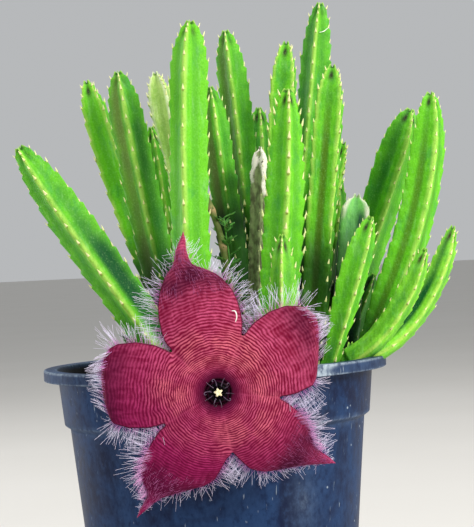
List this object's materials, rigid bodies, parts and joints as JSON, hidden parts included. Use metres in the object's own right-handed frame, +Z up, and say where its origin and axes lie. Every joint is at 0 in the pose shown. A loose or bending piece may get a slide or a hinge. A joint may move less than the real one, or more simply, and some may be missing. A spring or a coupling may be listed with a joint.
{
  "type": "potted starfish flower plant",
  "caption": "Clump of upright toothed four-ribbed succulent stems in a round plastic nursery pot, with one large hairy five-lobed flower hanging over the front of the rim.",
  "frame": {"origin": "centre of the pot's flat underside, where the pot rests on the ground", "axes": "+Z up along the pot's axis, -Y towards the front, which the flower faces, +X to the right seen from the front"},
  "size_m": [0.2534, 0.2246, 0.3983],
  "materials": {
    "pot_plastic": "satin",
    "potting_mix": "matte",
    "stem_green": "satin",
    "stem_pale": "satin",
    "stem_young": "satin",
    "stem_dead": "matte",
    "stalk_woody": "matte",
    "weed_leaf": "matte",
    "petal_crimson": "matte",
    "corona_dark": "gloss",
    "star_cream": "satin"
  },
  "bodies": {
    "root": {"pot": "pot_plastic", "soil": "potting_mix", "stem_far_left": "stem_green", "stem_left_bright": "stem_green", "stem_left_olive": "stem_green", "stem_left_back": "stem_green", "stem_left_hidden": "stem_green", "stem_pale_club": "stem_pale", "stem_tall_left": "stem_green", "stem_mid_dark": "stem_green", "stem_mid_tall": "stem_green", "stem_centre": "stem_green", "stem_behind_centre": "stem_green", "stem_tallest": "stem_green", "stem_right_centre": "stem_green", "stem_corky": "stem_green", "stem_right_front": "stem_green", "stem_right_dark": "stem_green", "stem_right_arched": "stem_green", "stem_back_dark": "stem_green", "stem_back_narrow": "stem_green", "stem_back_right": "stem_green", "stem_dried": "stem_dead", "stem_right_pair": "stem_young", "stem_flowering": "stem_young", "bare_stalk": "stalk_woody", "weed_sprig_middle": "weed_leaf", "weed_sprig_left": "weed_leaf", "corolla": "petal_crimson", "corona": "corona_dark", "column_star": "star_cream"}
  },
  "joints": []
}
